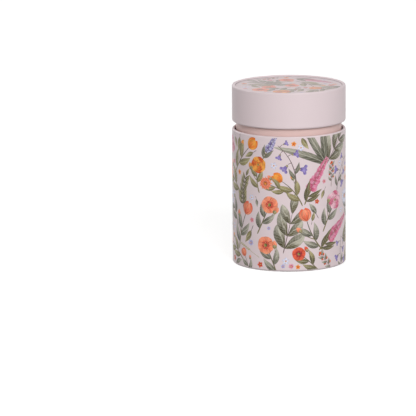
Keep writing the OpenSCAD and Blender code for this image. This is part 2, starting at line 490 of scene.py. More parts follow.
def poppy(rng, at, heading, r, pair, deep):
    out, start = [], rng.uniform(0, turn)
    for k in range(5):
        a = start + k * turn / 5
        out.append(petal(around(at, -0.1 * r, a), a, r * 1.08, r * 1.15, rng.uniform(-0.1, 0.1), pair,
                         "petal", 12))
        out.append(petal(at, a, r * 0.5, r * 0.34, 0, (deep, pair[0]), "drop", 7))
    out.append(dot(at, r * 0.2, ("lime", "moss"), "eye"))
    return out + [dot(around(at, (0.31 + 0.07 * (k % 2)) * r, k * turn / 14), r * 0.045, ("soot", "plum"))
                  for k in range(14)]


def ranunculus(rng, at, heading, r, pair):
    out, start = [], rng.uniform(0, turn)
    for ring in range(4):
        size, count = r * (1 - 0.24 * ring), 7 - ring
        for k in range(count):
            out.append(petal(at, start + ring * 0.6 + k * turn / count, size, size, 0,
                             pair[::-1] if (ring + k) % 2 else pair, "petal", 10))
    return out + [dot(at, r * 0.13, ("lime", "olive"), "eye")]


def tulip(rng, at, heading, r, pair):
    out = [petal(at, heading + s * 0.22, r * 1.72, r * 0.8, -s * 0.1, pair, count=10) for s in (1, -1)]
    out += [petal(at, heading + s * 0.62, r * 1.75, r * 0.95, -s * 1.05, pair[::-1], count=11)
            for s in (1, -1)]
    return out + [petal(at, heading, r * 1.55, r, 0, pair, count=11)]


def bell(at, heading, r, pair):
    d = np.array([math.cos(heading), math.sin(heading)])
    n = np.array([-d[1], d[0]])
    mouth = np.array(at) + d * r * 1.15
    out = [petal(mouth + n * s * r * 0.72 - d * 0.25 * r, heading + s * 0.7, r * 0.72, r * 0.62, 0, pair,
                 count=6) for s in (-0.62, 0.0, 0.62)]
    out.append(petal(at, heading, r * 1.25, r * 1.24, 0, pair, "bell", 8))
    return out + [leaf(at - d * 0.1 * r, heading, r * 0.5, r * 0.5, 0, oliveLeaf, "egg", 5)]


# whole plants, which grow up from the origin
def star(rng, r, pair, eye):
    start = rng.uniform(0, turn)
    out = [petal((0, 0), start + k * turn / 5, r, r * 0.72, rng.uniform(-0.1, 0.1), pair, count=8)
           for k in range(5)]
    return out + [dot((0, 0), r * 0.2, eye, "eye")]


def pairedSpray(rng, pair, length, leafLength, leafWidth, gaps, spread, kind, curl):
    line, spine = stemLine((0, 0), up, length, rng.uniform(-0.7, 0.7), 0.75, stemInks)
    out = [line]
    for k in range(2, len(spine) - 1, gaps):
        f = 1 - 0.37 * k / len(spine)
        out += [onStem(spine, k, s * (spread + rng.uniform(-0.12, 0.12)),
                       leafLength * f * rng.uniform(0.88, 1.1), leafWidth * f,
                       -s * curl * rng.uniform(0.5, 1.4), pair, kind, 10) for s in (-1, 1)]
    return out + [onStem(spine, -1, 0, leafLength * 0.75, leafWidth * 0.7, rng.uniform(-0.2, 0.2),
                         pair, kind)]


def fern(rng, pair, length, reach):
    line, spine = stemLine((0, 0), up, length, rng.uniform(-0.6, 0.6), 0.6, (pair[0], pair[0]), 30)
    out = [line]
    for k in range(3, len(spine) - 1, 2):
        f = math.sin(math.pi * (0.16 + 0.82 * k / len(spine)))
        out += [onStem(spine, k, s, reach * f, 1.9 * (0.4 + 0.6 * f), -s * 0.35, pair, count=6)
                for s in (-1, 1)]
    return out


def straps(rng, pair, length, count):
    out = []
    for k in range(count):
        lean = (k - (count - 1) / 2) * 0.42
        out.append(leaf((lean * 2, 0), up - lean, length * rng.uniform(0.75, 1.05), length * 0.13,
                        -lean * 1.3 + rng.uniform(-0.35, 0.35), pair, "strap", 18))
    return out


def flowerSpray(rng, head, pair, r, length, leafPair, *more):
    bend = rng.uniform(-0.7, 0.7)
    line, spine = stemLine((0, 0), up, length, bend, 0.9, greenStem)
    side = -1 if bend > 0 else 1
    twig, tip = stemLine(spine[7], headingAt(spine, 7) + side * 0.75, length * 0.42, -side * 0.5, 0.6,
                         greenStem, 8)
    out = [line, twig]
    out += [onStem(spine, k, s * 0.8, length * 0.54, length * 0.185, -s * 0.6, leafPair)
            for k, s in ((3, 1), (6, -1), (9, 1))]
    out += head(rng, spine[-1], headingAt(spine), r, pair, *more)
    # a bud on the side twig
    return out + [petal(tip[-1], headingAt(tip), r * 0.95, r * 0.55, 0, pair, count=8),
                  leaf(tip[-1], headingAt(tip), r * 0.5, r * 0.5, 0, oliveLeaf, "egg", 6)]


def bellSpray(rng, pair):
    bend = rng.choice((-1, 1)) * rng.uniform(0.7, 1.2)
    line, spine = stemLine((0, 0), up, 30, bend, 0.7, stemInks, 18)
    out = [line]
    for n, (k, s) in enumerate(((6, -1), (9, 1), (12, -1), (15, 1), (17, -1))):
        twig, tip = stemLine(spine[k], headingAt(spine, k) + s * 1.3, 3.2, s * 0.8, 0.45, stemInks, 5)
        out += [twig] + bell(tip[-1], headingAt(tip), 3.9 - 0.42 * n, pair)
    return out + [onStem(spine, k, s * 0.7, 9, 2.6, -s * 0.4, dullLeaf) for k, s in ((2, 1), (4, -1))]


def spike(rng, pair, length, leafPair):
    line, spine = stemLine((0, 0), up, length, rng.uniform(-0.4, 0.4), 0.9, ("olive", "olive"), 30)
    out, foot = [line], 9
    for k in range(foot, len(spine)):
        f = 1 - 0.8 * ((k - foot) / (len(spine) - foot)) ** 1.3
        h = headingAt(spine, min(k, len(spine) - 2))
        for s in (-1, 1):
            inkPair = pair if rng.random() < 0.6 else pair[::-1]
            out.append(petal(spine[k], h + s * rng.uniform(0.75, 1.35), 4.2 * f + 0.8, 2.5 * f + 0.4,
                             -s * 0.7, inkPair, count=6))
    # the leaves at the foot spread from the way the top points
    return out + [leaf(spine[k], headingAt(spine, -2) + s * 0.75, 11, 2.6, -s * 0.5, leafPair)
                  for k in (2, 5) for s in (-1, 1)]


def berrySpray(rng, pair):
    line, spine = stemLine((0, 0), up, 24, rng.uniform(-0.9, 0.9), 0.6, twigInks)
    out = [line]
    for k in range(4, 16, 2):
        s, r = 1 if k % 4 else -1, 1.55 - 0.03 * k
        twig, tip = stemLine(spine[k], headingAt(spine, k) + s * 0.8, 4.6 * (1.3 - k / 20), -s * 0.4, 0.4,
                             twigInks, 5)
        shine = dot(tip[-1] + np.array([-0.3, 0.35]) * r, r * 0.28, ("butter", "cream"))
        out += [twig, dot(tip[-1], r, pair), shine, onStem(spine, k, -s * 0.9, 6.5, 2.6, s * 0.3, sageLeaf)]
    return out + [dot(spine[-1], 1.4, pair)]


def sprigLeaf(rng, pair, length):
    return [stemLine((0, 0), up, length * 0.5, 0.2, 0.5, stemInks, 6)[0],
            leaf((0, length * 0.3), up, length * 0.8, length * 0.3, rng.uniform(-0.5, 0.5), pair)]


def grass(rng, pair):
    line, spine = stemLine((0, 0), up, 28, rng.uniform(-0.9, 0.9), 0.45, pair, 22)
    return [line] + [leaf(spine[k], headingAt(spine, k) + (0.5 if k % 2 else -0.5), 2.6, 0.95, 0.0, pair,
                          "egg", 5, "plain") for k in range(10, 22)]


# every plant of the print: the function that draws it afresh each time, and its values in millimetres
recipes = {
    "tulip": (flowerSpray, tulip, ("orange", "amber"), 5.2, 24, oliveLeaf),
    "tulipCoral": (flowerSpray, tulip, coral, 5.0, 22, sageLeaf),
    "daisyCoral": (flowerSpray, daisy, coral, 6.6, 24, oliveLeaf, 12, ("amber", "orangeDeep")),
    "daisyOrange": (flowerSpray, daisy, orange, 5.8, 22, oliveLeaf, 11, ("brickDeep", "soot")),
    "daisyWhite": (flowerSpray, daisy, white, 6.2, 22, dullLeaf, 14, ("amber", "orange")),
    "poppy": (flowerSpray, poppy, ("brick", "coral"), 5.2, 22, deepLeaf, "brickDeep"),
    "poppyCoral": (flowerSpray, poppy, coral, 6.0, 22, sageLeaf, "brick"),
    "ranunculus": (flowerSpray, ranunculus, orange, 6.0, 20, oliveLeaf),
    "ranunculusRose": (flowerSpray, ranunculus, rose, 6.2, 22, sageLeaf),
    "bells": (bellSpray, ("violet", "violetPale")),
    "spike": (spike, ("rose", "rosePale"), 32, ("oliveDark", "olive")),
    "spikeViolet": (spike, ("violet", "lilac"), 28, dullLeaf),
    "berries": (berrySpray, ("brick", "orange")),
    "olive": (pairedSpray, deepLeaf, 34, 13, 4.6, 2, 0.82, "lance", 0.4),
    "oliveWide": (pairedSpray, sageLeaf, 38, 15, 5.4, 2, 0.82, "lance", 0.4),
    "broad": (pairedSpray, ("oliveDark", "sageLight"), 32, 23, 9.2, 5, 0.8, "egg", 0.5),
    "willow": (pairedSpray, deepLeaf, 40, 24, 6.0, 4, 0.6, "lance", 0.5),
    "round": (pairedSpray, ("sage", "mist"), 34, 8, 6.4, 3, 1.15, "petal", 0.0),
    "fernSage": (fern, ("sage", "sageLight"), 34, 9),
    "straps": (straps, sageLeaf, 40, 3),
    "strapsMoss": (straps, ("moss", "oliveLight"), 34, 2),
    "grass": (grass, ("oliveLight", "lime")),
    "starWhite": (star, 3.2, white, ("amber", "orange")),
    "starRose": (star, 2.8, rose, yolk),
    "starViolet": (star, 2.4, ("violetPale", "lilac"), yolk),
    "starOrange": (star, 2.8, ("orange", "amber"), ("brick", "brick")),
    "starCoral": (star, 3.0, ("brick", "coral"), yolk),
    "leafOlive": (sprigLeaf, oliveLeaf, 13),
    "leafSage": (sprigLeaf, sageLeaf, 11),
}


class Field:
    # which parts of a flat print are taken, on a grid of small cells
    def __init__(self, width, height, inside=None):
        self.width, self.height, self.cell = width, height, 0.5
        self.shape = int(height / self.cell), int(width / self.cell)
        self.taken = np.zeros(self.shape, bool)
        self.yy, self.xx = np.mgrid[0:self.shape[0], 0:self.shape[1]] * self.cell + self.cell / 2
        # a plant may hang a little over the edge of the wall, but not over the edge of a disc
        self.outsideCost = 9.0 if inside else 0.45
        self.inside = inside or (lambda x, y: (x > 0) & (x < width) & (y > 0) & (y < height))

    def score(self, spots):
        x, y, r = spots.T
        ok = self.inside(x, y)
        i = np.clip((x / self.cell).astype(int), 0, self.shape[1] - 1)
        j = np.clip((y / self.cell).astype(int), 0, self.shape[0] - 1)
        area = r * r + 0.4
        return (area[self.taken[j, i] & ok].sum() + self.outsideCost * area[~ok].sum()) / area.sum()

    def mark(self, spots, margin):
        for x, y, r in spots:
            q = r + margin
            i0, j0 = max(0, int((x - q) / self.cell)), max(0, int((y - q) / self.cell))
            i1, j1 = max(0, int((x + q) / self.cell) + 1), max(0, int((y + q) / self.cell) + 1)
            near = (self.xx[j0:j1, i0:i1] - x) ** 2 + (self.yy[j0:j1, i0:i1] - y) ** 2 < q * q
            self.taken[j0:j1, i0:i1] |= near


thinnest = 0.35  # the least half width, in millimetres, that a stroke takes up
roomEnough = 0.01  # the search stops at a place that is no fuller than this


def sow(field, rng, strokes, tries, limit, margin, lean, scale):
    # the best of some random places for one plant, or nothing where all are too full
    spots = np.array([(*p, max(h, thinnest)) for b in strokes
                      for p, h in zip(b["spine"][::2], b["half"][::2])])
    middle, best = spots[:, :2].mean(0), None
    for _ in range(tries):
        at = np.array([rng.uniform(0, field.width), rng.uniform(0, field.height)])
        a, size = rng.uniform(-lean, lean), rng.uniform(*scale)
        c, s = math.cos(a) * size, math.sin(a) * size
        m = np.array([[c, -s], [s, c]])
        at = at - m @ middle
        tried = np.hstack([spots[:, :2] @ m.T + at, spots[:, 2:] * size])
        found = field.score(tried)
        if best is None or found < best[0]:
            best = (found, tried, m, at, size)
        if found < roomEnough:
            break
    found, tried, m, at, size = best
    if found > limit:
        return []
    field.mark(tried, margin)
    return [dict(b, spine=b["spine"] @ m.T + at, half=b["half"] * size) for b in strokes]


def drawPrint(s, width, height, inside=None):
    rng = random.Random(s["seed"])
    field, strokes = Field(width, height, inside), []
    for names, count, tries, limit, margin, lean, scale, under in s["layers"]:
        for k in range(count):
            draw, *values = recipes[names[k % len(names)]]
            grown = sow(field, rng, draw(rng, *values), tries, limit, margin, lean, scale)
            strokes = grown + strokes if under else strokes + grown
    for stroke in strokes:
        stroke["brush"] = rng.random()
        spine, half = stroke["spine"], stroke["half"]
        along = np.gradient(spine, axis=0)
        along /= np.maximum(np.linalg.norm(along, axis=1), 1e-9)[:, None]
        aside = np.stack([-along[:, 1], along[:, 0]], 1) * half[:, None]
        stroke["loop"] = np.vstack([spine + aside, (spine - aside)[::-1]])
    return strokes


def clipped(loop, x, sign):
    # the part of a closed loop on one side of the vertical line at x
    out = []
    for a, b in zip(np.roll(loop, 1, 0), loop):
        inA, inB = sign * (a[0] - x) >= 0, sign * (b[0] - x) >= 0
        if inA != inB:
            t = (x - a[0]) / (b[0] - a[0])
            out.append((x, a[1] + t * (b[1] - a[1])))
        if inB:
            out.append(tuple(b))
    return np.array(out).reshape(-1, 2)


def cutCells(lines, loops):
    # triangles of a flat area that is cut by open lines and closed loops
    verts, edges = [], []
    for points, closed in [(p, False) for p in lines] + [(p, True) for p in loops]:
        first, kept = len(verts), []
        for p in points:
            if not kept or abs(p[0] - kept[-1][0]) + abs(p[1] - kept[-1][1]) > 0.001:
                kept.append(p)
        if len(kept) < 2:
            continue
        verts += [Vector((float(p[0]), float(p[1]))) for p in kept]
        edges += [(first + k, first + k + 1) for k in range(len(kept) - 1)]
        if closed:
            edges.append((first + len(kept) - 1, first))
    found = delaunay_2d_cdt(verts, edges, [], 0, 1e-4, False)
    return np.array([tuple(v) for v in found[0]]), np.array(found[2])


def isInside(points, loop):
    x, y = points[:, 0, None], points[:, 1, None]
    ax, ay = loop.T
    bx, by = np.roll(loop, -1, 0).T
    slope = (bx - ax) / np.where(by == ay, 1e-12, by - ay)
    crossed = ((ay > y) != (by > y)) & (x < slope * (y - ay) + ax)
    return crossed.sum(1) % 2 == 1


def topStrokes(points, strokes):
    # the number of the topmost stroke over each point, or -1 on the ground colour
    owner = np.full(len(points), -1)
    order = np.argsort(points[:, 0])
    xs = points[order, 0]
    for k, stroke in enumerate(strokes):
        low, high = stroke["loop"].min(0), stroke["loop"].max(0)
        near = order[slice(*np.searchsorted(xs, [low[0], high[0]]))]
        near = near[(points[near, 1] > low[1]) & (points[near, 1] < high[1])]
        if len(near):
            owner[near[isInside(points[near], stroke["loop"])]] = k
    return owner


def strokePlace(stroke, points):
    # the way along a stroke, from 0 to 1, and across it, from -1 to 1
    spine, half = stroke["spine"], stroke["half"]
    d = np.diff(spine, axis=0)
    rel = points[:, None] - spine[None, :-1]
    t = np.clip((rel * d).sum(2) / np.maximum((d * d).sum(1), 1e-12), 0, 1)
    gap = np.linalg.norm(rel - t[..., None] * d, axis=2)
    k, row = gap.argmin(1), np.arange(len(points))
    t, gap, rel = t[row, k], gap[row, k], rel[row, k]
    side = np.sign(d[k, 0] * rel[:, 1] - d[k, 1] * rel[:, 0])
    width = np.maximum(half[k] * (1 - t) + half[k + 1] * t, 0.02)
    return np.stack([(k + t) / len(d), np.clip(side * gap / width, -1, 1)], 1)


def plainCorners(count):
    # what the corners of faces carry where nothing is printed on them
    return {"inkBase": np.ones((count, 4)), "inkTip": np.ones((count, 4)),
            "stroke": np.tile((0.0, 0.0, groundStyle), (count, 1)), "brush": np.zeros(count)}


def flatPrint(verts, tris, strokes, keep=None):
    # turns each triangle anticlockwise and gives every corner its inks and stroke
    p = verts[tris]
    area = np.cross(p[:, 1] - p[:, 0], p[:, 2] - p[:, 0])
    tris = np.where((area < 0)[:, None], tris[:, ::-1], tris)[np.abs(area) > 1e-7]
    middle, corners = verts[tris].mean(1), verts[tris].reshape(-1, 2)
    owner = topStrokes(middle, strokes)
    if keep:
        owner = np.where(keep(middle), owner, -1)
    data = plainCorners(len(corners))
    cornerOwner = np.repeat(owner, 3)
    order = np.argsort(cornerOwner, kind="stable")
    cuts = np.searchsorted(cornerOwner[order], np.arange(len(strokes) + 1))
    for k, stroke in enumerate(strokes):
        mine = order[cuts[k]:cuts[k + 1]]
        if len(mine):
            for key, ink in zip(("inkBase", "inkTip"), stroke["inks"]):
                data[key][mine, :3] = linear(inks[ink])
            data["stroke"][mine, :2] = strokePlace(stroke, corners[mine])
            data["stroke"][mine, 2] = styles[stroke["style"]]
            data["brush"][mine] = stroke["brush"]
    return tris, data


def weld(verts):
    # one number for all the points in one place: which ones stay, and the new number of each
    _, first, back = np.unique(np.round(verts, 3), axis=0, return_index=True, return_inverse=True)
    return first, back.reshape(-1)


def isWhole(faces):
    # false for slivers that welding has closed
    return (np.diff(np.sort(faces, axis=1), axis=1) > 0).all(1)


def rolled(radius, angle, z):
    # points or normals round the Z axis
    return np.stack([radius * np.cos(angle), radius * np.sin(angle), z + 0 * angle], 1)


columnAngles = turn / 4 + turn * np.arange(columns + 1) / columns


class Sheet:
    # gathers the faces of a pressed or printed piece, in millimetres, and makes its mesh
    def __init__(self):
        self.verts, self.faces, self.count = [], [], 0
        self.data = {k: [] for k in ("normal", "uv", "inkBase", "inkTip", "stroke", "brush", "bare")}

    def addFaces(self, verts, faces, normals, uv, bare, printed=None):
        data = dict(printed or plainCorners(faces.size), normal=normals, uv=uv,
                    bare=np.full(faces.size, float(bare)))
        for key, values in data.items():
            self.data[key].append(values)
        self.verts.append(verts)
        self.faces.append(faces + self.count)
        self.count += len(verts)

    def turned(self, path, uvBox, bare):
        # a path of (point, normal, point, normal) pairs in radius and height, turned round Z
        total, gone = sum(math.dist(a, b) for a, _, b, _ in path), 0.0
        x0, y0, x1, y1 = uvBox
        v = y0 + (y1 - y0) * np.arange(columns + 1) / columns
        for a, na, b, nb in path:
            ends = gone, gone + math.dist(a, b)
            gone = ends[1]
            uv = np.vstack([np.stack([np.full_like(v, x0 + (x1 - x0) * u / total), v], 1) for u in ends])
            k = np.arange(columns)
            far = k + columns + 1
            corners = [k, k + 1, far + 1, far]
            if a[0] == 0 or b[0] == 0:  # a point on the axis makes triangles
                corners.pop(1 if a[0] == 0 else 2)
            faces = np.stack(corners, 1)
            flat = faces.reshape(-1)
            verts, normals = (np.vstack([rolled(p[0], columnAngles, p[1]) for p in pair])
                              for pair in ((a, b), (na, nb)))
            self.addFaces(verts, faces, normals[flat], uv[flat], bare)

    def build(self, name, material):
        verts = np.vstack(self.verts)
        first, back = weld(verts)
        faces, kept = [], {key: [] for key in self.data}
        for number, block in enumerate(self.faces):
            whole = isWhole(back[block])
            faces += back[block][whole].tolist()
            for key, values in self.data.items():
                kept[key].append(values[number][np.repeat(whole, block.shape[1])])
        mesh = bpy.data.meshes.new(name)
        mesh.from_pydata((verts[first] * mm).tolist(), [], faces)
        kept = {key: np.concatenate(values) for key, values in kept.items()}
        mesh.normals_split_custom_set(kept.pop("normal").tolist())
        mesh.uv_layers.new(name="OFBake").data.foreach_set("uv", kept.pop("uv").ravel())
        for key, values in kept.items():
            kind, field = {"stroke": ("FLOAT_VECTOR", "vector"), "brush": ("FLOAT", "value"),
                           "bare": ("FLOAT", "value")}.get(key, ("FLOAT_COLOR", "color"))
            mesh.attributes.new(key, kind, "CORNER").data.foreach_set(field, values.ravel())
        mesh.materials.append(material)
        print(name, len(mesh.vertices), "points,", len(mesh.polygons), "faces")
        return addObject(name, mesh)


def straight(*points):
    # segments with the material on their left
    out = []
    for a, b in zip(points, points[1:]):
        length = math.dist(a, b)
        n = ((b[1] - a[1]) / length, (a[0] - b[0]) / length)
        out.append((a, n, b, n))
    return out


def curved(center, r, start, end, steps):
    # an arc by degrees; a clockwise one is hollow, so its normal points at the centre
    sign = 1 if end > start else -1
    angles = [math.radians(start + (end - start) * k / steps) for k in range(steps + 1)]
    points = [((center[0] + r * math.cos(a), center[1] + r * math.sin(a)),
               (sign * math.cos(a), sign * math.sin(a))) for a in angles]
    return [(*p, *q) for p, q in zip(points, points[1:])]


def hemPaths(s, outer):
    # the folded foot hem in section, standing at height 0: its hollow inside, and its outside
    sheet, r = s["sheet"], s["hemRound"]
    inner, leg = outer - 2 * r - s["hemLand"], r + s["hemLeg"]
    a, b = outer - r, inner + r
    hollow = curved((a, r), r - sheet, 0, -90, 5) + straight((a, sheet), (b, sheet))
    hollow += curved((b, r), r - sheet, 270, 180, 5) + straight((inner + sheet, r), (inner + sheet, leg))
    shown = straight((inner + sheet, leg), (inner, leg), (inner, r)) + curved((b, r), r, 180, 270, 8)
    return hollow, shown + straight((b, 0.0), (a, 0.0)) + curved((a, r), r, 270, 360, 8)


heads = ["tulip", "poppyCoral", "daisyCoral", "ranunculus", "tulipCoral", "poppy", "daisyWhite", "tulip",
         "ranunculusRose", "daisyOrange", "spike", "poppyCoral", "bells", "tulipCoral"]
leaves = ["broad", "willow", "straps", "broad", "oliveWide", "round"]
fillers = ["berries", "tulipCoral", "olive", "strapsMoss", "tulip", "bells", "grass", "daisyCoral",
           "spikeViolet"]
smalls = ["starOrange", "starWhite", "leafOlive", "starRose", "starCoral", "leafSage", "starViolet"]

uvEdge = 0.004  # free strip along the edges of the UV square; UV places are left, low, right, high

# what all three prints share: the sheet's thickness, the brushwork and the lacquer over it
printFinish = {
    "sheet": 0.3, "ground": pinkGround, "streaks": 0.24, "veins": 0.6, "pooling": 0.18,
    "mottle": 0.03, "peel": 1.5, "bump": 0.35, "specular": 0.25, "tinStreaks": 0.1, "tinGloss": 0.27,
    "wornEdges": [], "paintedShadeCreases": [],
}
bodyPrintSettings = {
    **printFinish,
    "seed": 19,
    # plants, how many, tries for each, fullest place allowed, margin, lean, scale, laid under the rest
    "layers": [(heads, 36, 60, 0.3, 1.0, 0.85, (0.85, 1.15), False),
               (leaves, 7, 60, 0.42, 0.6, 1.0, (0.75, 1.0), True),
               (fillers, 20, 60, 0.22, 1.2, 1.2, (0.6, 0.85), False),
               (smalls, 80, 80, 0.1, 1.0, 3.1, (0.6, 1.05), False)],
    "seamMargin": 1.2,  # plain strip on each side of the seam down the back
    "seamDepth": 0.12, "seamHalf": 0.3, "seamEnd": 0.4,  # the groove where the sheet's two edges meet
    "grooveEnd": 0.5,  # it stops this far from both ends of the wall
    "tiles": 12, "tileEnd": 0.8,  # the wall is cut tile by tile, with a row of points near each end
    "curl": 0.9, "hemRound": 1.0, "hemLand": 1.0, "hemLeg": 0.05,
    "paleToGround": 0.0, "gloss": 0.42,
    "wornEdges": [(37.0, 0.25, 0.8, 0.42), (36.9, 89.7, 0.5, 0.3)],  # radius, height, reach, amount
    # painted shade along the foot where it stands
    "paintedShadeCreases": [(36.7, 0.0, 1.8, 0.65)],  # radius, height, reach, depth
    "wallUv": 190,  # millimetres of the wall across the whole of the UV square
    "curlUv": (0.63, uvEdge, 0.70, 1 - uvEdge), "insideUv": (0.71, uvEdge, 0.90, 1 - uvEdge),
    "hollowUv": (0.91, uvEdge, 0.94, 1 - uvEdge), "hemUv": (0.95, uvEdge, 0.99, 1 - uvEdge),
}


def cutWall(s, strokes, width, height):
    # points and triangles of the flat wall with the print cut into it
    verts, tris, count = [], [], 0
    perTile = columns // s["tiles"]
    seamLines = (s["seamHalf"], s["seamMargin"], width - s["seamMargin"], width - s["seamHalf"])
    for tile in range(s["tiles"]):
        x0, x1 = width * tile / s["tiles"], width * (tile + 1) / s["tiles"]
        xs = [x0 + (x1 - x0) * k / perTile for k in range(perTile + 1)]
        lines = [[(x, y) for y in (0, s["tileEnd"], height - s["tileEnd"], height)] for x in xs]
        lines += [[(x, s["seamEnd"]), (x, height - s["seamEnd"])] for x in seamLines if x0 < x < x1]
        lines += [[(x, y) for x in xs] for y in (0, height)]
        near = [b["loop"] for b in strokes if b["loop"][:, 0].max() > x0 and b["loop"][:, 0].min() < x1]
        loops = [clipped(clipped(loop, x0, 1), x1, -1) for loop in near]
        points, cells = cutCells(lines, [loop for loop in loops if len(loop) > 2])
        verts.append(points)
        tris.append(cells + count)
        count += len(points)
    verts, tris = np.vstack(verts), np.vstack(tris)
    # points that are as good as on a column are put on it, so that the tiles join
    snap, column = 0.0015, np.round(verts[:, 0] / width * columns) * width / columns
    verts[:, 0] = np.where(np.abs(verts[:, 0] - column) < snap, column, verts[:, 0])
    first, back = weld(verts)
    return verts[first], back[tris][isWhole(back[tris])]


def makeBody(s):
    low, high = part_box("outer_shell")
    outer, top = high.x / mm, high.z / mm
    sheet, curl, margin = s["sheet"], s["curl"], s["seamMargin"]
    bottom, rim = s["hemRound"], top - curl
    width, height = turn * outer, rim - bottom
    strokes = drawPrint(s, width, height)
    clear = 0.01  # no stroke runs right to the wall's ends
    for stroke in strokes:
        stroke["loop"][:, 1] = np.clip(stroke["loop"][:, 1], clear, height - clear)
    verts, tris = cutWall(s, strokes, width, height)
    tris, printed = flatPrint(verts, tris, strokes, lambda p: (p[:, 0] > margin) & (p[:, 0] < width - margin))
    # the flat wall is rolled up, with a shallow groove down the back
    fromSeam = np.minimum(verts[:, 0], width - verts[:, 0])
    inner = (verts[:, 1] > s["grooveEnd"]) & (verts[:, 1] < height - s["grooveEnd"])
    radius = outer - s["seamDepth"] * np.clip(1 - fromSeam / s["seamHalf"], 0, 1) * inner
    angle = turn / 4 + verts[:, 0] / outer
    flat = tris.reshape(-1)
    # it lies in the UV square in two halves, one over the other
    upper, left, below, gap = np.repeat(verts[tris].mean(1)[:, 0] > width / 2, 3), 0.5, 0.8, 1.5
    uv = verts[flat] + (left, below) + upper[:, None] * (-width / 2, height + gap)
    body = Sheet()
    body.addFaces(rolled(radius, angle, verts[:, 1] + bottom), tris, rolled(1, angle, 0)[flat],
                  uv / s["wallUv"], 0, printed)
    join = math.acos((curl - sheet) / curl)
    body.turned(curved((outer - curl, rim), curl, 0, 360 - math.degrees(join), 26), s["curlUv"], 0)
    inside = straight((outer - sheet, rim - curl * math.sin(join)), (outer - sheet, bottom))
    body.turned(inside, s["insideUv"], 1)
    hollow, shown = hemPaths(s, outer)
    body.turned(hollow, s["hollowUv"], 1)
    body.turned(shown, s["hemUv"], 0)
    piece = body.build("body_print", makePrintMaterial("printedTin", s))
    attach(piece, "can")
    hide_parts("outer_shell")


makeBody(bodyPrintSettings)
print("body printed")

lidPrintSettings = {
    **printFinish,
    "seed": 21, "reach": 33.6,
    "layers": [(["poppyCoral", "daisyCoral", "ranunculus", "tulip", "poppyCoral", "spike"], 7, 160, 0.34,
                0.9, 3.1, (0.85, 1.1), False),
               (["broad", "willow", "straps", "oliveWide"], 4, 160, 0.45, 0.5, 3.1, (0.65, 0.85), True),
               (["berries", "strapsMoss", "bells"], 4, 120, 0.3, 0.9, 3.1, (0.5, 0.7), False),
               (smalls, 24, 100, 0.1, 0.9, 3.1, (0.6, 1.0), False)],
    "seen": 35.3,  # radius of the flat disc that shows
    # painted shade in the crease at the panel's edge, next to the hem
    # the print on the lid's top is paled towards the ground colour as a painted sheen
    "paleToGround": 0.36, "gloss": 0.45, "paintedShadeCreases": [(35.4, 117.75, 0.6, 0.45)],
    "discUv": 0.72, "rimUv": (0.74, uvEdge, 0.78, 0.72), "underUv": (0.79, uvEdge, 0.995, 0.72),
    "skirtUv": (uvEdge, 0.74, 0.3, 0.995),
}


def printDisc(s, sheet, radius, z, hole=0, blank=0):
    # a printed flat disc, facing up, with a hole in its middle and no plants within the blank radius
    reach = s["reach"]

    def inside(x, y):
        r = np.hypot(x - reach, y - reach)
        return (r < reach) & (r > blank)

    strokes = drawPrint(s, 2 * reach, 2 * reach, inside)
    for stroke in strokes:
        stroke["loop"], stroke["spine"] = stroke["loop"] - reach, stroke["spine"] - reach
    rings = [rolled(r, columnAngles[:-1], 0)[:, :2] for r in (radius, hole) if r]
    verts, tris = cutCells([], rings + [b["loop"] for b in strokes])
    tris = tris[np.hypot(*verts[tris].mean(1).T) > hole * 0.9995]
    tris, printed = flatPrint(verts, tris, strokes)
    flat = tris.reshape(-1)
    normals = np.tile((0.0, 0.0, 1.0), (len(flat), 1))
    uv = (verts[flat] / radius + 1) / 2 * s["discUv"] + uvEdge
    sheet.addFaces(np.column_stack([verts, np.full(len(verts), z)]), tris, normals, uv, 0, printed)


def makeLidTop(s):
    low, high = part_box("outer_lid_top")
    rim, top, bottom = high.x / mm, high.z / mm, low.z / mm
    under, inner, seen = top - s["sheet"], rim - s["sheet"], s["seen"]
    lid = Sheet()
    printDisc(s, lid, seen, top)
    lid.turned(straight((rim, top), (seen, top)), s["rimUv"], 0)
    lid.turned(straight((0, under), (inner, under), (inner, bottom)), s["underUv"], 1)
    lid.turned(straight((inner, bottom), (rim, bottom), (rim, top)), s["skirtUv"], 0)
    piece = lid.build("lid_top_print", makePrintMaterial("lidPrint", s))
    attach(piece, "outer_lid")
    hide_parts("outer_lid_top")


makeLidTop(lidPrintSettings)

dishPrintSettings = {
    **printFinish,
    "seed": 5, "reach": 30.8,
    "layers": [(["spike", "daisyCoral", "ranunculusRose", "poppy", "daisyWhite", "tulip"], 6, 300, 0.36,
                0.7, 3.1, (0.8, 0.95), False),
               (["broad", "willow", "fernSage"], 3, 200, 0.5, 0.4, 3.1, (0.6, 0.72), True),
               (["berries", "strapsMoss", "bells"], 4, 160, 0.34, 0.6, 3.1, (0.55, 0.7), False),
               (smalls, 24, 100, 0.1, 0.7, 3.1, (0.6, 0.95), False)],
    "round": 1.0, "hole": 1.7, "flange": 0.8, "wall": 32.8,
    "knobFoot": 7.4,  # radius round the knob that stays plain
    "paleToGround": 0.1, "gloss": 0.45,
    "discUv": 0.62, "outsideUv": (0.64, uvEdge, 0.995, 0.62), "upperUv": (uvEdge, 0.64, 0.38, 0.995),
}


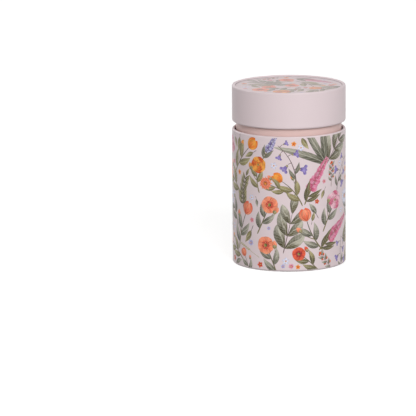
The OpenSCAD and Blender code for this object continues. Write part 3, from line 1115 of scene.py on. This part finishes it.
def makeDish(s):
    low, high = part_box("inner_lid_pan")
    lip, top, under = high.x / mm, high.z / mm, low.z / mm
    sheet, wall, hole, r = s["sheet"], s["wall"], s["hole"], s["round"]
    floor, inner, edge = under + sheet, wall - sheet, wall - sheet - r
    nose, flangeLow = s["flange"] / 2, top - s["flange"]
    dish = Sheet()
    printDisc(s, dish, edge, floor, hole, s["knobFoot"])
    outside = straight((hole, floor), (hole, under), (edge, under))
    outside += curved((edge, floor + r), r + sheet, 270, 360, 8)
    outside += straight((wall, floor + r), (wall, flangeLow))
    dish.turned(outside, s["outsideUv"], 1)
    # round the flange and down the inside of the wall
    upper = straight((wall, flangeLow), (lip - nose, flangeLow))
    upper += curved((lip - nose, top - nose), nose, 270, 450, 12)
    upper += straight((lip - nose, top), (inner, top), (inner, floor + r))
    upper += curved((edge, floor + r), r, 360, 270, 8)
    dish.turned(upper, s["upperUv"], 0)
    piece = dish.build("inner_lid_print", makePrintMaterial("innerLidPrint", s))
    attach(piece, "inner_lid")
    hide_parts("inner_lid_pan")


makeDish(dishPrintSettings)
print("lids printed")

lacquerFinish = {
    "mottle": 0.02, "peel": 1.7, "bump": 0.3, "specular": 0.25, "tinStreaks": 0.12, "tinGloss": 0.27,
    "rollRadius": 37.0,  # the tin's grain runs round the piece at this radius
    "seamRadius": 37.4, "seamAside": 1.6,  # the hairline's radius, and its way round from the back
}
lidBandSettings = {
    **lacquerFinish, "color": pinkGround, "gloss": 0.42,
    "bareRadius": 37.35, "bareLow": 96.8, "bareHigh": 117.3,
    "wornEdges": [(37.0, 118.3, 0.7, 0.3), (36.9, 94.9, 0.6, 0.32)],
    # painted shade in the crease inside the hem round the lid's top
    "paintedShadeCreases": [(35.3, 117.7, 0.7, 0.45)],
}
neckSettings = {
    **lacquerFinish, "color": (220, 190, 185), "gloss": 0.4,
    "bareRadius": 34.65, "bareLow": 0.0, "bareHigh": 114.95,
    "wornEdges": [(34.1, 116.3, 0.6, 0.34)],
    "paintedShadeCreases": [],
}
baseSettings = {"color": tinColor, "streaks": 0.14, "gloss": 0.25, "bump": 0.3}
knobSettings = {"color": (226, 224, 221), "gloss": 0.09, "ringScale": 9.0, "ringGloss": 0.04, "smear": 0.06,
                "tarnish": 0.05, "bump": 0.12}
screwSettings = {"color": (196, 199, 204), "gloss": 0.3, "ringScale": 14.0, "ringGloss": 0.16, "smear": 0.1,
                 "tarnish": 0.12, "bump": 0.5}


def dress(material, *names):
    for name in names:
        node = nodes[name]
        if not node.data.materials:
            node.data.materials.append(material)
        for slot in node.material_slots:
            slot.material = material


dress(makeLacquerMaterial("lidLacquer", lidBandSettings), "outer_lid_band")
dress(makeLacquerMaterial("neckLacquer", neckSettings), "liner_tube")
dress(makeTinMaterial("bareTinplate", baseSettings), "base_disc", "liner_base")
dress(makeTurnedMaterial("polishedKnob", knobSettings), "knob")
dress(makeTurnedMaterial("zincScrew", screwSettings), "knob_screw", "knob_washer")
print("metal dressed")

studioSettings = {
    "fillLow": 0.64, "fillHigh": 0.17,  # the world's light on the object, at the horizon and overhead
    # power, azimuth and elevation in degrees, distance and size in metres
    "keyLamp": (26.7, 13.0, 30.0, 2.0, 1.1), "backLamp": (8.0, 218.0, 30.0, 1.8, 1.2),
    "aimHeight": 0.06,
    "floorRadius": 12.0, "floorColor": (172, 171, 170), "floorLift": 0.75,
}


def seenDirectly(n):
    camera, glossy, through = (n.value("LightPath", "Is " + kind + " Ray")
                               for kind in ("Camera", "Glossy", "Transmission"))
    return n.most(n.most(camera, glossy), through)


def makeLamp(name, aimHeight, power, azimuth, elevation, distance, size):
    data = bpy.data.lights.new(name, "AREA")
    data.shape, data.size, data.energy = "DISK", size, power
    lamp = addObject(name, data)
    a, e = math.radians(azimuth), math.radians(elevation)
    away = Vector((math.sin(a) * math.cos(e), -math.cos(a) * math.cos(e), math.sin(e)))
    lamp.location = away * distance + Vector((0, 0, aimHeight))
    lamp.rotation_euler = away.to_track_quat("Z", "Y").to_euler()


def makeStudio(s):
    world = bpy.data.worlds.new("studio")
    bpy.context.scene.world = world
    world.use_nodes = True
    world.node_tree.nodes.clear()
    n = Nodes(world.node_tree)
    height = n.split(n.value("TexCoord", "Generated"))[2]
    fill = n.step(height, 0.0, 1.0, s["fillLow"], s["fillHigh"], "LINEAR")
    sky = n.add("Background", {"Color": (1, 1, 1, 1), "Strength": n.between(seenDirectly(n), fill, 1.0)})
    n.tree.links.new(sky.outputs[0], n.add("OutputWorld").inputs[0])
    for name in ("keyLamp", "backLamp"):
        makeLamp(name, s["aimHeight"], *s[name])
    sides = 64
    rim = [around((0, 0), s["floorRadius"], turn * k / sides) for k in range(sides)]
    mesh = bpy.data.meshes.new("floor")
    mesh.from_pydata([(x, y, 0) for x, y in rim], [], [range(sides)])
    floor = addObject("floor", mesh)
    material, n, shader = newMaterial("paleFloor")
    shader.inputs["Base Color"].default_value = rgba(s["floorColor"])
    shader.inputs["Roughness"].default_value = 0.9
    shader.inputs["Specular IOR Level"].default_value = 0.1
    shader.inputs["Emission Color"].default_value = (1, 1, 1, 1)
    n.feed(shader.inputs["Emission Strength"], seenDirectly(n) * s["floorLift"])
    mesh.materials.append(material)


makeStudio(studioSettings)
bpy.context.scene.view_settings.view_transform = "Standard"
print("studio lit")
